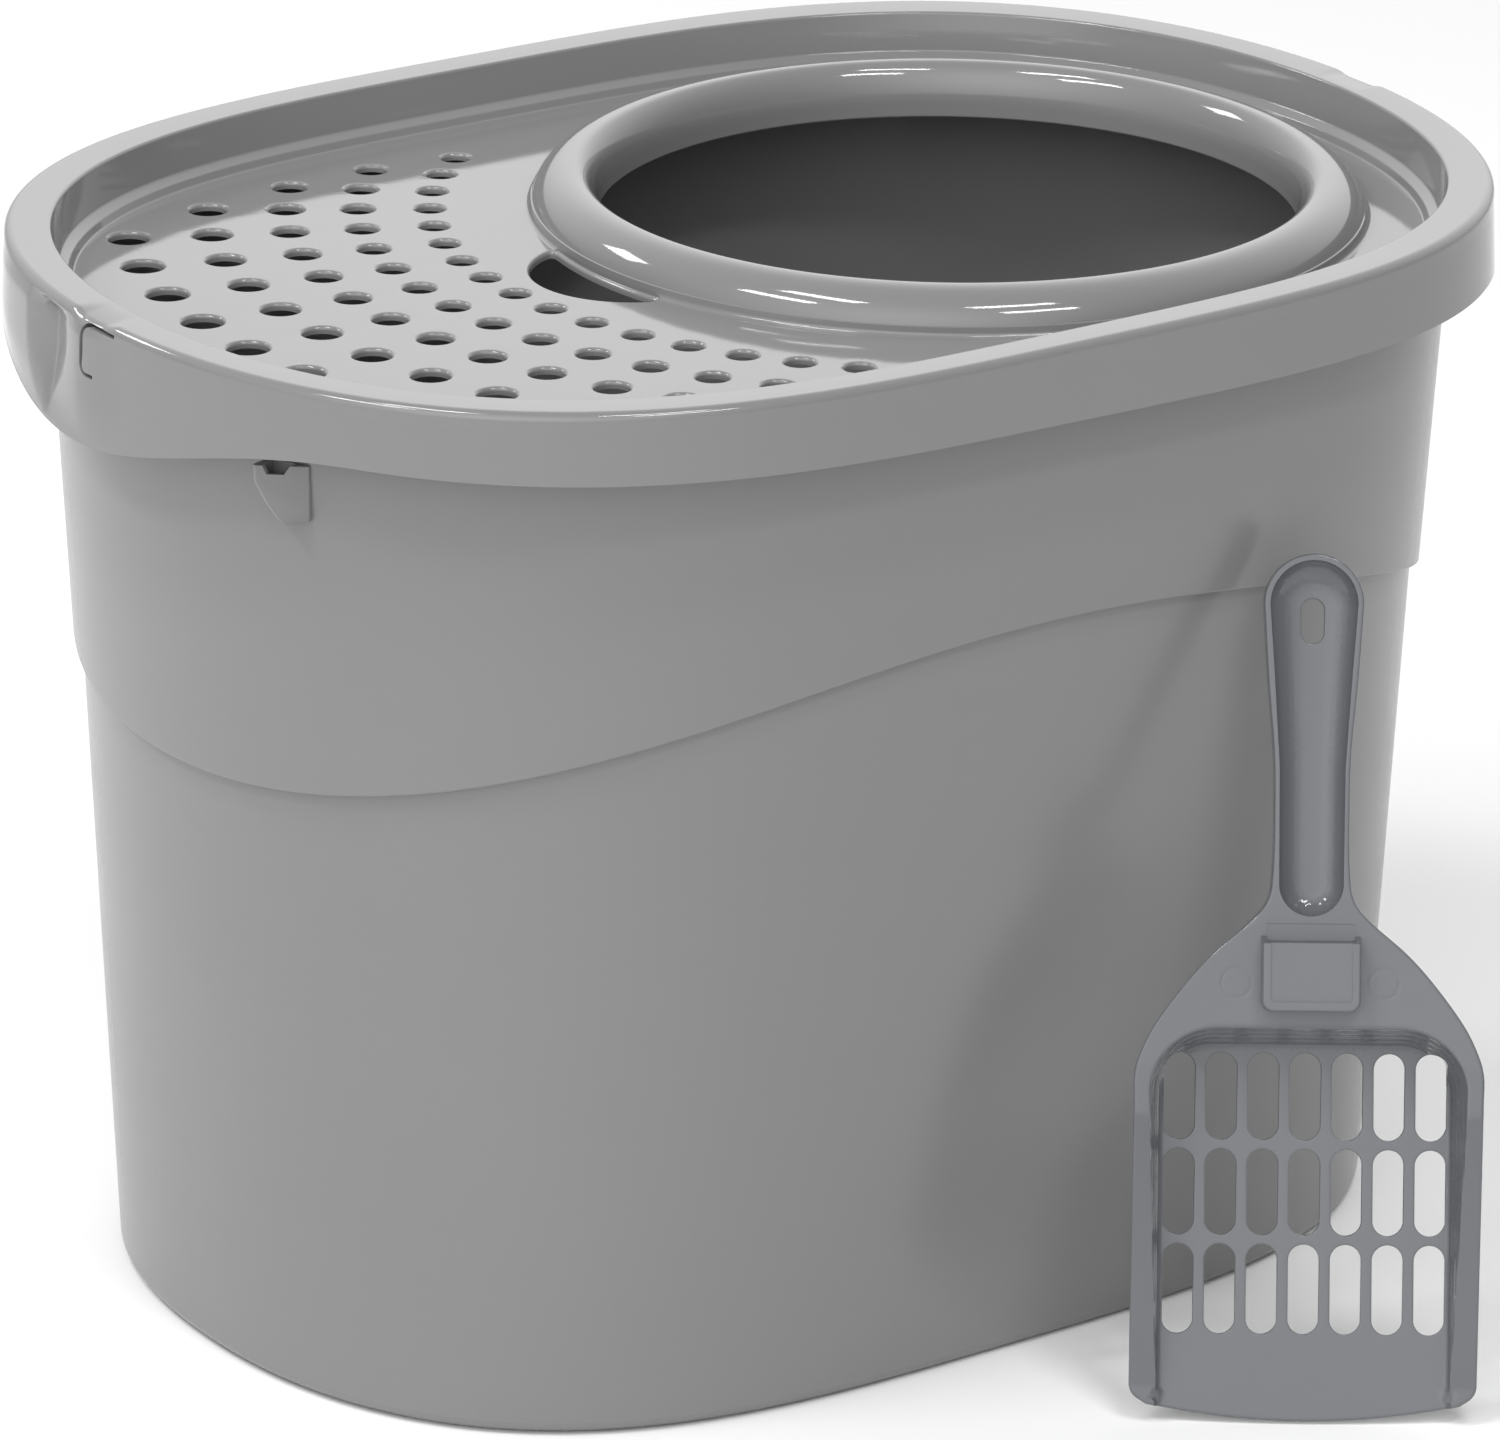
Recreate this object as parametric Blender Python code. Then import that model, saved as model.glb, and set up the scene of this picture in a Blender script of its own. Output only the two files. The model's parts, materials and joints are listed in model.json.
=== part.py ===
"""Top-entry cat litter box: a deep oval tub, a drip-through lid with a round entry collar, and a scoop.

Metres, +Z up. The origin is the middle of the tub's underside and +X is the long axis, towards the
entry. The end at -X carries the perforated deck, and the tub's scoop hook is beside it.
"""

import math

import bmesh
import bpy
import numpy as np
from mathutils import Matrix, Vector

# Driving dimensions of the whole box
LENGTH = 0.520
WIDTH = 0.384
HEIGHT = 0.373
SEGMENTS = 88
OUTLINE_SAMPLES = 4001
SHELL = 0.0026
LONG_POWER = 3.4
LID_POWER = 2.05
FOOT_POWER = 2.20

# Lid
DECK_Z = 0.354
LID_LIFT_GAP = 0.0004
SKIRT_SIDE_Z = 0.347
SKIRT_TILT = -0.012
SKIRT_END_DROP = 0.0225
SKIRT_END_CENTRE = 0.022
SKIRT_END_REACH = 0.135
SKIRT_FLARE = 0.0012
RIM_ROUND = 0.0055
COLLAR_X = 0.081
COLLAR_BORE = 0.1222
COLLAR_BASE = 0.148
COLLAR_DEPTH = 0.0054
GRIP_FLARE = 0.0022
GRIP_START = 0.010
GRIP_FADE = (0.075, 0.115)
GRIP_VALLEY_Y = 0.045
GRIP_VALLEY_HALF = 0.018
GRIP_VALLEY_DEPTH = 0.0050

# Paw-cleaning holes: five arcs round the collar's centre
HOLE_ARC_RADII = (0.1796, 0.2045, 0.2294, 0.2562, 0.2848)
HOLE_ARC_SPREAD = (8, 7, 6, 5, 4)
HOLE_DIAMETERS = (0.010, 0.011, 0.012, 0.013, 0.014)
HOLE_PITCH = 0.1114
HOLE_SIDES = 10
FINGER_SLOT_RADIUS = 0.1566
FINGER_SLOT_HALF_WIDTH = 0.0075
FINGER_SLOT_HALF_ANGLE = 0.168
SLIT_WIDTH = 0.0010
SLIT_DROP = 0.0125

# Tub
FOOT_LENGTH = 0.453
FOOT_WIDTH = 0.3175
FOOT_ROUND = 0.005
TUB_DRAFT = 0.0483
TUB_STEP = 0.0028
STEP_PEAK_Z = 0.270
STEP_ARCH = 1.0
SHOULDER_Z = 0.344
SHOULDER_RISE = 0.006
RIM_WALL_OFFSET = -0.0080
RIM_FLANGE_OFFSET = -0.0062
FLOOR_THICKNESS = 0.003

# Scoop hook on the tub
HOOK_Y = -0.0735
HOOK_TOP_Z = 0.3415
HOOK_HEIGHT = 0.020
HOOK_WIDTH = 0.0155
HOOK_TOE_WIDTH = 0.007
HOOK_REACH = 0.0095
HOOK_WALL = 0.0019

# Scoop
SCOOP_LENGTH = 0.2915
SCOOP_HALF_WIDTH = 0.0585
SCOOP_DEPTH = 0.022
SCOOP_WALL = 0.0022
SCOOP_LEAN = math.radians(20.9)
SCOOP_TURN = -0.6117
SCOOP_FOOT = (0.0453, -0.2610, 0.0006)
HANDLE_HALF_TOP = 0.0168
HANDLE_HALF_NECK = 0.0131
HANDLE_DEPTH = 0.0095
SHOULDER_BASE = 0.117
SLOT_COLUMNS = 7
SLOT_PITCH = 0.0141
SLOT_WIDTH = 0.0104
SLOT_ROWS = ((0.0293, 0.0595), (0.0626, 0.0915), (0.0946, 0.1238))
HANG_HOLE_Y = 0.269
CHANNEL_DEPTH = 0.0073
CHANNEL_HALF_TOP = 0.0147
CHANNEL_HALF_FOOT = 0.0108
CHANNEL_FOOT_Y = 0.1811
SOCKET_HALF = 0.0167
SOCKET_SPAN = (0.1384, 0.1620)
SOCKET_WALL = 0.0019
SOCKET_RISE = 0.0070


def clear_scene():
    for obj in list(bpy.data.objects):
        bpy.data.objects.remove(obj, do_unlink=True)


def plastic(name, colour, roughness):
    material = bpy.data.materials.new(name)
    material.use_nodes = True
    shader = material.node_tree.nodes["Principled BSDF"]
    shader.inputs["Base Color"].default_value = (*colour, 1.0)
    shader.inputs["Roughness"].default_value = roughness
    shader.inputs["Metallic"].default_value = 0.0
    return material


def object_from(name, mesh, material=None):
    obj = bpy.data.objects.new(name, mesh)
    bpy.context.scene.collection.objects.link(obj)
    if material:
        mesh.materials.append(material)
    return obj


def finish_mesh(name, bm, material=None, smooth_angle=35.0):
    bmesh.ops.recalc_face_normals(bm, faces=bm.faces)
    mesh = bpy.data.meshes.new(name)
    bm.to_mesh(mesh)
    bm.free()
    mesh.shade_smooth()
    mesh.set_sharp_from_angle(angle=math.radians(smooth_angle))
    return object_from(name, mesh, material)


def loft(rings, cyclic=False):
    """Quads between successive rings of equal length; the two end rings are capped unless cyclic."""
    bm = bmesh.new()
    loops = [[bm.verts.new(point) for point in ring] for ring in rings]
    pairs = list(zip(loops, loops[1:]))
    if cyclic:
        pairs.append((loops[-1], loops[0]))
    for lower, upper in pairs:
        count = len(lower)
        for i in range(count):
            j = (i + 1) % count
            bm.faces.new((lower[i], lower[j], upper[j], upper[i]))
    if not cyclic:
        bm.faces.new(loops[0])
        bm.faces.new(loops[-1])
    return bm


def prism(name, outline, bottom, top):
    """A closed solid over a flat outline of (x, y) points."""
    rings = [[(x, y, z) for x, y in outline] for z in (bottom, top)]
    return finish_mesh(name, loft(rings))


def make_cutter(obj):
    obj.hide_render = True
    obj.display_type = "WIRE"
    return obj


def boolean(target, tool, operation):
    modifier = target.modifiers.new(f"{operation.title()} {tool.name}", "BOOLEAN")
    modifier.operation = operation
    modifier.solver = "EXACT"
    modifier.object = make_cutter(tool)


def smoothstep(low, high, value):
    t = min(1.0, max(0.0, (value - low) / (high - low)))
    return t * t * (3.0 - 2.0 * t)


def oval(half_x, half_y, power_y, offset=0.0):
    """The plan outline |x/a|^LONG_POWER + |y/b|^power_y = 1, grown by an offset, at equal steps along it."""
    turn = np.linspace(0.0, 2.0 * math.pi, OUTLINE_SAMPLES)
    cosine, sine = np.cos(turn), np.sin(turn)
    x = (half_x + offset) * np.sign(cosine) * np.abs(cosine) ** (2.0 / LONG_POWER)
    y = (half_y + offset) * np.sign(sine) * np.abs(sine) ** (2.0 / power_y)
    run = np.concatenate(([0.0], np.cumsum(np.hypot(np.diff(x), np.diff(y)))))
    stops = run[-1] * (np.arange(SEGMENTS) + 0.5) / SEGMENTS
    return list(zip(np.interp(stops, run, x).tolist(), np.interp(stops, run, y).tolist()))


def skirt_low(x, y):
    """Height of the skirt's lower edge, which dips round both ends."""
    end = -1.0 if x < 0.0 else 1.0
    reach = abs(y + end * SKIRT_END_CENTRE) / SKIRT_END_REACH
    dip = 0.5 + 0.5 * math.cos(math.pi * min(1.0, reach))
    near_end = smoothstep(0.12, 0.20, abs(x))
    return SKIRT_SIDE_Z + SKIRT_TILT * x - SKIRT_END_DROP * dip * near_end


def grip_offset(x, y):
    """How far the skirt stands out or in at the finger grips of the two ends."""
    if abs(x) < 0.18:
        return 0.0
    across = y if x < 0.0 else -y
    flare = smoothstep(GRIP_START - 0.001, GRIP_START + 0.001, across)
    flare *= 1.0 - smoothstep(GRIP_FADE[0], GRIP_FADE[1], across)
    valley = min(1.0, abs(across - GRIP_VALLEY_Y) / GRIP_VALLEY_HALF)
    return GRIP_FLARE * flare - GRIP_VALLEY_DEPTH * (0.5 + 0.5 * math.cos(math.pi * valley))


def lid_ring(offset, height, grip=0.0):
    """One ring of the lid's outer part. The height is a number, or None for the skirt's lower edge."""
    ring = []
    for x, y in oval(LENGTH / 2, WIDTH / 2, LID_POWER, offset):
        outward = Vector((x, y)).normalized()
        shift = grip * grip_offset(x, y)
        z = skirt_low(x, y) if height is None else height
        ring.append((x + shift * outward.x, y + shift * outward.y, z))
    return ring


def collar_ring(radius, height):
    """A circle round the entry, its points in line with those of the lid's outline."""
    ring = []
    for x, y in oval(LENGTH / 2, WIDTH / 2, LID_POWER):
        angle = math.atan2(y, x - COLLAR_X)
        ring.append((COLLAR_X + radius * math.cos(angle), radius * math.sin(angle), height))
    return ring


def lid_rings():
    top = HEIGHT
    deck = DECK_Z
    under = deck - SHELL
    return [
        lid_ring(SKIRT_FLARE, None, 1.0),
        lid_ring(0.0, top - RIM_ROUND, 0.6),
        lid_ring(-0.0016, top - 0.0016),
        lid_ring(-RIM_ROUND, top),
        lid_ring(-0.0138, top),
        lid_ring(-0.0155, top - 0.0016),
        lid_ring(-0.0168, deck + 0.0050),
        lid_ring(-0.0200, deck + 0.0030),
        lid_ring(-0.0215, deck),
        collar_ring(COLLAR_BASE, deck),
        collar_ring(0.1415, deck + 0.0035),
        collar_ring(0.1398, deck + 0.0090),
        collar_ring(0.1335, deck + 0.0132),
        collar_ring(0.1262, deck + 0.0126),
        collar_ring(COLLAR_BORE, deck + 0.0108),
        collar_ring(COLLAR_BORE - 0.0004, deck - COLLAR_DEPTH),
        collar_ring(COLLAR_BORE + SHELL, deck - COLLAR_DEPTH),
        collar_ring(COLLAR_BORE + SHELL, deck + 0.0085),
        collar_ring(0.1335, deck + 0.0104),
        collar_ring(0.1375, deck + 0.0060),
        collar_ring(COLLAR_BASE - 0.003, under),
        lid_ring(-0.0190, under),
        lid_ring(-0.0141, deck + 0.0030),
        lid_ring(-0.0128, top - 0.0045),
        lid_ring(-0.0112, top - 0.0028),
        lid_ring(-0.0055, top - 0.0028),
        lid_ring(-0.0028, top - 0.0055, 0.6),
        lid_ring(SKIRT_FLARE - 0.0028, None, 1.0),
    ]


def hole_cutter():
    """All the drain holes as one group of separate pegs."""
    bm = bmesh.new()
    rows = zip(HOLE_ARC_RADII, HOLE_ARC_SPREAD, HOLE_DIAMETERS)
    for radius, spread, diameter in rows:
        for step in range(-spread, spread + 1):
            angle = math.pi + step * HOLE_PITCH
            place = Vector((COLLAR_X + radius * math.cos(angle), radius * math.sin(angle), DECK_Z))
            bmesh.ops.create_cone(
                bm,
                cap_ends=True,
                segments=HOLE_SIDES,
                radius1=diameter / 2,
                radius2=diameter / 2,
                depth=0.012,
                matrix=Matrix.Translation(place),
            )
    return finish_mesh("drain_hole_cutter", bm)


def finger_slot_cutter():
    """A slot with round ends that bends round the collar's foot."""
    outline = []
    middle, half = FINGER_SLOT_RADIUS, FINGER_SLOT_HALF_WIDTH
    reach = FINGER_SLOT_HALF_ANGLE
    for step in range(9):
        angle = math.pi - reach + 2 * reach * step / 8
        outline.append((middle + half, angle))
    for step in range(1, 6):
        turn = math.pi * step / 6
        outline.append((middle + half * math.cos(turn), math.pi + reach + half * math.sin(turn) / middle))
    for step in range(9):
        angle = math.pi + reach - 2 * reach * step / 8
        outline.append((middle - half, angle))
    for step in range(1, 6):
        turn = math.pi * step / 6
        outline.append((middle - half * math.cos(turn), math.pi - reach - half * math.sin(turn) / middle))
    points = [(COLLAR_X + r * math.cos(a), r * math.sin(a)) for r, a in outline]
    return prism("finger_slot_cutter", points, DECK_Z - 0.008, DECK_Z + 0.008)


def slit_cutter(end):
    """The J-shaped relief slit beside a finger grip, cut through the skirt only."""
    half = SLIT_WIDTH / 2
    top = HEIGHT - RIM_ROUND - 0.0006
    low = top - SLIT_DROP
    line = [(GRIP_START, top), (GRIP_START, low), (GRIP_START - 0.0022, low - 0.0032)]
    line.append((GRIP_START - 0.0064, low - 0.0045))
    left = [(y + half, z) for y, z in line[:2]]
    left += [(line[2][0] + half * 0.7, line[2][1] - half * 0.7), (line[3][0], line[3][1] - half)]
    right = [(y - half, z) for y, z in line[:2]]
    right += [(line[2][0] - half * 0.7, line[2][1] + half * 0.7), (line[3][0], line[3][1] + half)]
    outline = left + right[::-1]
    inner, outer = LENGTH / 2 - 0.0048, LENGTH / 2 + 0.006
    rings = [[(end * depth, -end * y, z) for y, z in outline] for depth in (inner, outer)]
    side = "front" if end < 0 else "rear"
    return finish_mesh(f"slit_cutter_{side}", loft(rings))


def build_lid(material):
    lid = finish_mesh("lid", loft(lid_rings(), cyclic=True), material)
    boolean(lid, hole_cutter(), "DIFFERENCE")
    boolean(lid, finger_slot_cutter(), "DIFFERENCE")
    boolean(lid, slit_cutter(-1.0), "DIFFERENCE")
    boolean(lid, slit_cutter(1.0), "DIFFERENCE")
    return lid


def tub_ring(offset, height, step=0.0):
    """One ring of the tub. The height is a number, or None for the line of the moulded step."""
    ring = []
    fraction = (SHOULDER_Z if height is None else height) / SHOULDER_Z
    power = FOOT_POWER + (LID_POWER - FOOT_POWER) * min(1.0, fraction)
    for base_x, base_y in oval(FOOT_LENGTH / 2, FOOT_WIDTH / 2, power):
        z = STEP_PEAK_Z - STEP_ARCH * base_x * base_x + step if height is None else height
        grown = TUB_DRAFT * z + offset
        x = base_x * (1.0 + grown / (FOOT_LENGTH / 2))
        y = base_y * (1.0 + grown / (FOOT_WIDTH / 2))
        ring.append((x, y, z))
    return ring


def rim_ring(offset, height):
    """One ring of the tub's rim, which follows the lid's outline."""
    return [(x, y, height) for x, y in oval(LENGTH / 2, WIDTH / 2, LID_POWER, offset)]


def tub_rings():
    upper = TUB_STEP
    rim_z = HEIGHT - 0.0028 - LID_LIFT_GAP
    wall = RIM_WALL_OFFSET
    shoulder_top = SHOULDER_Z + SHOULDER_RISE
    return [
        tub_ring(-FOOT_ROUND, 0.0),
        tub_ring(-0.0016, 0.0014),
        tub_ring(0.0, FOOT_ROUND),
        tub_ring(0.0, None),
        tub_ring(upper, None, step=0.0012),
        tub_ring(upper, SHOULDER_Z),
        rim_ring(wall, shoulder_top),
        rim_ring(wall, rim_z - 0.0030),
        rim_ring(RIM_FLANGE_OFFSET, rim_z - 0.0024),
        rim_ring(RIM_FLANGE_OFFSET, rim_z),
        rim_ring(wall - SHELL, rim_z),
        rim_ring(wall - SHELL, shoulder_top),
        tub_ring(upper - SHELL, SHOULDER_Z - 0.001),
        tub_ring(upper - SHELL, 0.285),
        tub_ring(-SHELL, 0.190),
        tub_ring(-SHELL, 0.012),
        tub_ring(-SHELL - 0.007, FLOOR_THICKNESS),
    ]


def hook_frame():
    """A frame on the tub's wall: X runs along the wall, Y out of it and Z up."""
    half_x = FOOT_LENGTH / 2 + TUB_DRAFT * HOOK_TOP_Z + TUB_STEP
    half_y = FOOT_WIDTH / 2 + TUB_DRAFT * HOOK_TOP_Z + TUB_STEP
    share = abs(HOOK_Y / half_y) ** LID_POWER
    x = -half_x * (1.0 - share) ** (1.0 / LONG_POWER)
    slope_x = LONG_POWER * abs(x / half_x) ** (LONG_POWER - 1.0) / half_x
    slope_y = LID_POWER * abs(HOOK_Y / half_y) ** (LID_POWER - 1.0) / half_y
    out = Vector((-slope_x, -slope_y, 0.0)).normalized()
    along = out.cross(Vector((0.0, 0.0, 1.0)))
    matrix = Matrix((along, out, Vector((0.0, 0.0, 1.0)))).transposed().to_4x4()
    matrix.translation = Vector((x, HOOK_Y, HOOK_TOP_Z))
    return matrix


def hook_solid(name, half_top, half_toe, reach, top, height, root, right_open=0.0):
    """A shield-shaped wedge that tapers down into the wall. Its right side can run on, to open that side."""
    levels = ((top, half_top, reach), (-0.45 * height, half_top, 0.85 * reach))
    levels += ((-0.85 * height, (half_top + half_toe) / 2, 0.42 * reach), (-height, half_toe, 0.12 * reach))
    rings = []
    for z, half, out in levels:
        face = max(out, root + 0.0006)
        right = -half - right_open
        rings.append([(right, root, z), (half, root, z), (half, face, z), (right, face, z)])
    obj = finish_mesh(name, loft(rings))
    obj.data.transform(hook_frame())
    return obj


def hook_notch():
    """The notch in the top edge of the hook's front plate."""
    outline = ((-0.0045, 0.001), (0.0045, 0.001), (0.0028, -0.0032), (-0.0028, -0.0032))
    rings = [[(x, depth, z) for x, z in outline] for depth in (HOOK_REACH - 0.0035, HOOK_REACH + 0.004)]
    obj = finish_mesh("hook_notch_cutter", loft(rings))
    obj.data.transform(hook_frame())
    return obj


def build_tub(material):
    tub = finish_mesh("tub", loft(tub_rings()), material)
    half = HOOK_WIDTH / 2
    outer = hook_solid("hook_body", half, HOOK_TOE_WIDTH / 2, HOOK_REACH, 0.0, HOOK_HEIGHT, -0.0014)
    boolean(tub, outer, "UNION")
    thin = HOOK_WALL
    toe = HOOK_TOE_WIDTH / 2 - thin
    deep = 0.8 * HOOK_HEIGHT
    pocket = hook_solid("hook_pocket", half - thin, toe, HOOK_REACH - thin, 0.004, deep, 0.0012, 0.004)
    boolean(tub, pocket, "DIFFERENCE")
    boolean(tub, hook_notch(), "DIFFERENCE")
    return tub


def arc(centre, radius, start, end, steps):
    cx, cy = centre
    angles = [math.radians(start + (end - start) * i / steps) for i in range(steps + 1)]
    return [(cx + radius * math.cos(a), cy + radius * math.sin(a)) for a in angles]


def mirrored(right_side):
    """A closed outline from its right-hand side, listed from bottom to top."""
    return right_side + [(-x, y) for x, y in reversed(right_side) if x > 1e-6]


def scoop_blade(inset, foot):
    """Right-hand side of the blade's outline, up to where it would meet the neck."""
    half = SCOOP_HALF_WIDTH - inset
    lip = [(x * half, foot + 0.0068 * x * x) for x in (0.0, 0.35, 0.65, 0.88)]
    return lip + arc((half - 0.006, foot + 0.0125), 0.006, -60, 0, 3)


def scoop_plate_outline():
    """Shoulder, neck and handle as one flat outline, from the blade's shoulder up."""
    half = SCOOP_HALF_WIDTH
    shoulder = [(half, 0.108), (half, SHOULDER_BASE), (0.0565, 0.1245), (0.0515, 0.1344), (0.0420, 0.1473)]
    shoulder += [(0.0325, 0.1578), (0.0196, 0.1690), (0.0140, 0.1762), (HANDLE_HALF_NECK, 0.1860)]
    top_centre = SCOOP_LENGTH - HANDLE_HALF_TOP
    neck = [(HANDLE_HALF_NECK, 0.2200), (0.0150, 0.2480)]
    return mirrored(shoulder + neck + arc((0.0, top_centre), HANDLE_HALF_TOP, 0, 90, 6))


def channel_outline():
    """The hollow along the handle, which widens towards the hang slot."""
    foot = arc((0.0, CHANNEL_FOOT_Y), CHANNEL_HALF_FOOT, 270, 360, 4)
    end = arc((0.0, SCOOP_LENGTH - HANDLE_HALF_TOP), CHANNEL_HALF_TOP, 0, 90, 5)
    return mirrored(foot + [(0.0110, 0.2200), (0.0128, 0.2480)] + end)


def stadium(centre, half_width, low, high, steps=4):
    """An upright slot outline with round ends."""
    upper = arc((centre, high - half_width), half_width, 0, 180, steps)
    lower = arc((centre, low + half_width), half_width, 180, 360, steps)
    return upper + lower


def scoop_shell(name, inset_low, inset_high, low_z, high_z, foot, shoulder_low, shoulder_high):
    """A tapered tray, narrower at its floor than at its rim."""
    rings = []
    for inset, z, top in ((inset_low, low_z, shoulder_low), (inset_high, high_z, shoulder_high)):
        side = scoop_blade(inset, foot)
        half = SCOOP_HALF_WIDTH - inset
        side += arc((half - 0.017, top - 0.017), 0.017, 0, 90, 4)
        rings.append([(x, y, z) for x, y in mirrored(side + [(0.0, top)])])
    return finish_mesh(name, loft(rings))


def rim_slope_cutter():
    """Takes the side walls down from full depth at the shoulder to the front lip."""
    outline = [(-0.02, 0.0045), (0.012, 0.0052), (0.112, SCOOP_DEPTH + 0.0002), (0.112, 0.05), (-0.02, 0.05)]
    rings = [[(x, y, z) for y, z in outline] for x in (-0.08, 0.08)]
    return finish_mesh("scoop_rim_cutter", loft(rings))


def slot_cutter():
    bm = bmesh.new()
    for column in range(SLOT_COLUMNS):
        centre = (column - (SLOT_COLUMNS - 1) / 2) * SLOT_PITCH
        for low, high in SLOT_ROWS:
            outline = stadium(centre, SLOT_WIDTH / 2, low, high, 3)
            loops = [[bm.verts.new((x, y, z)) for x, y in outline] for z in (-0.004, 0.005)]
            for i in range(len(outline)):
                j = (i + 1) % len(outline)
                bm.faces.new((loops[0][i], loops[0][j], loops[1][j], loops[1][i]))
            bm.faces.new(loops[0])
            bm.faces.new(loops[1])
    return finish_mesh("scoop_slot_cutter", bm)


def rectangle(half_width, low, high):
    return [(-half_width, low), (half_width, low), (half_width, high), (-half_width, high)]


def neck_socket():
    """The flat box on the scoop's neck, and the gap inside it that opens towards the handle."""
    wall = SOCKET_WALL
    low, high = SOCKET_SPAN
    top = SCOOP_DEPTH + SOCKET_RISE
    box = prism("scoop_socket", rectangle(SOCKET_HALF, low, high), SCOOP_DEPTH - 0.001, top)
    inside = rectangle(SOCKET_HALF - wall, low + wall, high + 0.004)
    gap = prism("scoop_socket_gap", inside, SCOOP_DEPTH - 0.0003, top - wall)
    return box, gap


def scoop_matrix():
    """The scoop stands on its front lip and leans back until its handle meets the tub."""
    turn = Matrix.Rotation(SCOOP_TURN, 4, "Z")
    lean = Matrix.Rotation(math.pi / 2 - SCOOP_LEAN, 4, "X")
    return Matrix.Translation(SCOOP_FOOT) @ turn @ lean


def build_scoop(material):
    scoop = scoop_shell("scoop", 0.0068, 0.0, 0.0, SCOOP_DEPTH, 0.0, 0.128, 0.140)
    scoop.data.materials.append(material)
    plate = prism("scoop_plate", scoop_plate_outline(), SCOOP_DEPTH - HANDLE_DEPTH, SCOOP_DEPTH)
    shoulder_area = [(-0.08, 0.100), (0.08, 0.100), (0.08, 0.165), (-0.08, 0.165)]
    under = prism("scoop_under_cutter", shoulder_area, 0.0, SCOOP_DEPTH - SCOOP_WALL)
    boolean(plate, under, "DIFFERENCE")
    boolean(scoop, plate, "UNION")
    socket, socket_gap = neck_socket()
    boolean(scoop, socket, "UNION")
    boolean(scoop, socket_gap, "DIFFERENCE")
    above = SCOOP_DEPTH + 0.001
    tray = scoop_shell("scoop_tray_cutter", 0.0098, 0.0054, SCOOP_WALL, above, -0.03, 0.1265, 0.1330)
    boolean(scoop, tray, "DIFFERENCE")
    channel = prism("scoop_channel_cutter", channel_outline(), SCOOP_DEPTH - CHANNEL_DEPTH, above)
    boolean(scoop, channel, "DIFFERENCE")
    hang_outline = stadium(0.0, 0.0038, HANG_HOLE_Y - 0.0075, HANG_HOLE_Y + 0.0075)
    hang = prism("scoop_hang_cutter", hang_outline, 0.0, 0.03)
    boolean(scoop, hang, "DIFFERENCE")
    boolean(scoop, rim_slope_cutter(), "DIFFERENCE")
    boolean(scoop, slot_cutter(), "DIFFERENCE")
    scoop.matrix_world = scoop_matrix()
    for modifier in scoop.modifiers:
        modifier.object.parent = scoop
    return scoop


def main():
    clear_scene()
    grey = plastic("grey_plastic", (0.27, 0.27, 0.28), 0.22)
    lid_grey = plastic("grey_plastic_lid", (0.28, 0.28, 0.285), 0.18)
    smoke = plastic("smoke_plastic", (0.20, 0.21, 0.22), 0.16)
    build_tub(grey)
    build_lid(lid_grey)
    build_scoop(smoke)


main()
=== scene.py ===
"""Looks of a top-entry cat litter box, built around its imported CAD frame.

The object is three plastic mouldings: tub, lid and scoop. Each is modelled here again from the frame's
sizes, finely and with the soft edges of a moulding, and stands for its CAD node. Metres, +Z up.
"""

import json
import math

import bmesh
import bpy
import numpy as np
from mathutils import Matrix, Vector
from mathutils.geometry import delaunay_2d_cdt


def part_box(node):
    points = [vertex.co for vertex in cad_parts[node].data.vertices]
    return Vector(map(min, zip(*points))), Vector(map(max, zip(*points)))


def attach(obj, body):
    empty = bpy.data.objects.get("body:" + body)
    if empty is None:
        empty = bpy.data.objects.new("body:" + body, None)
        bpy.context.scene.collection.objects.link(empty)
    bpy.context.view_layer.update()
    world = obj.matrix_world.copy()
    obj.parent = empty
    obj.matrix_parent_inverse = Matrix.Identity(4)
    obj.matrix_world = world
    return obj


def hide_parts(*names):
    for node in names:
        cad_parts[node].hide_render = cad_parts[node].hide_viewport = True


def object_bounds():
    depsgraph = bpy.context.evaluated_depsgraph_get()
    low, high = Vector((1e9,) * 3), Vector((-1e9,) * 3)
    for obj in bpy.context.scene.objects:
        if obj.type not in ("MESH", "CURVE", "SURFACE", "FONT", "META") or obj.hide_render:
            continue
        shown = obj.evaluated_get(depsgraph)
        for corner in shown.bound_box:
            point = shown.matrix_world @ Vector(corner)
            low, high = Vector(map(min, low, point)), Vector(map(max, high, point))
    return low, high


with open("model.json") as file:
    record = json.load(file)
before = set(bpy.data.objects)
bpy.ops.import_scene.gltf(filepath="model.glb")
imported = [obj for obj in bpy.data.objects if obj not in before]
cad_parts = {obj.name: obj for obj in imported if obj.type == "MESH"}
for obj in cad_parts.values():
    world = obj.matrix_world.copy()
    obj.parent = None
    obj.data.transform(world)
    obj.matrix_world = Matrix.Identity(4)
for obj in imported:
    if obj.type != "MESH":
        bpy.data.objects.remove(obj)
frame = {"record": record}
cad_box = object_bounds()

# Driving sizes, from the frame
SKIRT_FLARE = 0.0012
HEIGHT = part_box("lid")[1].z
HALF_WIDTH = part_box("lid")[1].y - SKIRT_FLARE
HALF_LENGTH = HALF_WIDTH * 1.3542
LONG_POWER = 3.4
LID_POWER = 2.05
FOOT_POWER = 2.20
WALL = 0.0026

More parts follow.
